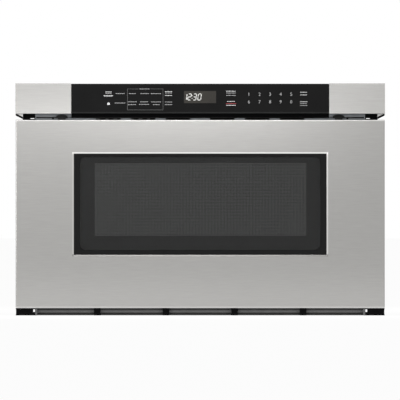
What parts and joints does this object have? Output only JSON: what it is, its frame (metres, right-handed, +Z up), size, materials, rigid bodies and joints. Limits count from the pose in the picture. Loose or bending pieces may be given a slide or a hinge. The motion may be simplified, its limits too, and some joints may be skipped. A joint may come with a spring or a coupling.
{
  "type": "microwave drawer",
  "caption": "Built-in microwave drawer with a stainless front and window, tilted touch panel, and a motor-driven drawer on telescopic slides.",
  "frame": {"origin": "middle of the bottom, on the plane of the skids under the base pan", "axes": "+X to the viewer's right when facing the front, +Y to the back (the front faces -Y), +Z up"},
  "size_m": [0.6064, 0.5936, 0.381],
  "materials": {
    "brushed_stainless": "brushed",
    "polished_stainless": "polished",
    "tinted_glass": "polished",
    "black_glass": "polished",
    "perforated_screen": "satin",
    "galvanised_steel": "spangled",
    "zinc_plated_steel": "satin",
    "grey_enamel": "satin",
    "black_paint": "matte",
    "black_plastic": "moulded",
    "white_nylon": "moulded",
    "rubber": "matte",
    "glass_ceramic": "smooth",
    "aluminium": "rolled",
    "mica": "matte",
    "copper_wire": "varnished",
    "core_steel": "laminated",
    "motor_steel": "satin",
    "circuit_board": "satin",
    "display_lens": "polished"
  },
  "bodies": {
    "chassis": {"base_pan": "galvanised_steel", "cavity_cover": "grey_enamel", "cavity_lamp": "black_plastic", "cavity_wrap": "grey_enamel", "control_board": "circuit_board", "cord_gland": "black_plastic", "display_module": "display_lens", "drive_brackets": "galvanised_steel", "drive_motor": "motor_steel", "exhaust_duct": "galvanised_steel", "fan_motor": "motor_steel", "fan_shroud": "black_plastic", "filter_board": "circuit_board", "frame_bumpers": "rubber", "front_frame": "galvanised_steel", "hv_capacitor": "aluminium", "interlock_switches": "white_nylon", "lower_front_panel": "galvanised_steel", "lower_grille": "black_plastic", "magnetron_anode": "aluminium", "magnetron_yoke": "zinc_plated_steel", "outer_case": "galvanised_steel", "panel_brackets": "galvanised_steel", "panel_end_trims": "brushed_stainless", "panel_glass": "black_glass", "panel_housing": "black_plastic", "rear_panel": "galvanised_steel", "shaft_bushes": "white_nylon", "side_flanges": "black_paint", "slide_brackets": "galvanised_steel", "slide_outer_members": "zinc_plated_steel", "stirrer_cover": "mica", "stirrer_motor": "motor_steel", "switch_brackets": "galvanised_steel", "toe_channel": "galvanised_steel", "transformer_coils": "copper_wire", "transformer_core": "core_steel", "waveguide": "aluminium"},
    "drawer": {"front_skin": "brushed_stainless", "window_trim": "polished_stainless", "window_glass": "tinted_glass", "window_gasket": "rubber", "window_screen": "perforated_screen", "door_liner": "galvanised_steel", "choke_cover": "black_plastic", "inner_glass": "tinted_glass", "back_pan": "galvanised_steel", "drawer_box": "grey_enamel", "ceramic_floor": "glass_ceramic", "carriage_rails": "galvanised_steel", "drive_racks": "white_nylon", "latch_hooks": "galvanised_steel", "slide_inner_members": "zinc_plated_steel"},
    "slide_middles": {"slide_middle_members": "zinc_plated_steel"},
    "cross_shaft": {"drive_shaft": "zinc_plated_steel", "shaft_pinions": "white_nylon", "driven_gear": "white_nylon"},
    "motor_gear": {"motor_pinion": "white_nylon"},
    "fan": {"fan_blade": "white_nylon"},
    "stirrer": {"stirrer_blade": "aluminium"}
  },
  "joints": [
    {"name": "drawer_slide", "type": "slide", "parent": "chassis", "child": "drawer", "axis": [0, -1, 0], "range_m": [0, 0.38]},
    {"name": "middle_slide", "type": "slide", "parent": "chassis", "child": "slide_middles", "axis": [0, -1, 0], "range_m": [0, 0.19]},
    {"name": "shaft_turn", "type": "hinge", "parent": "chassis", "child": "cross_shaft", "pos_m": [0, -0.195, 0.034], "axis": [1, 0, 0], "range_deg": [0, 1362]},
    {"name": "motor_gear_turn", "type": "hinge", "parent": "chassis", "child": "motor_gear", "pos_m": [0.064, -0.16, 0.034], "axis": [1, 0, 0], "range_deg": [-4085, 0]},
    {"name": "fan_spin", "type": "hinge", "parent": "chassis", "child": "fan", "pos_m": [0.095, 0.27, 0.11], "axis": [0, 1, 0], "continuous": true},
    {"name": "stirrer_spin", "type": "hinge", "parent": "chassis", "child": "stirrer", "pos_m": [0, -0.04, 0.28], "axis": [0, 0, 1], "continuous": true}
  ],
  "couplings": [
    {"joint": "middle_slide", "follows": "drawer_slide", "ratio": 0.5},
    {"joint": "shaft_turn", "follows": "drawer_slide", "rad_per_m": 62.5},
    {"joint": "motor_gear_turn", "follows": "drawer_slide", "rad_per_m": -187.5}
  ]
}
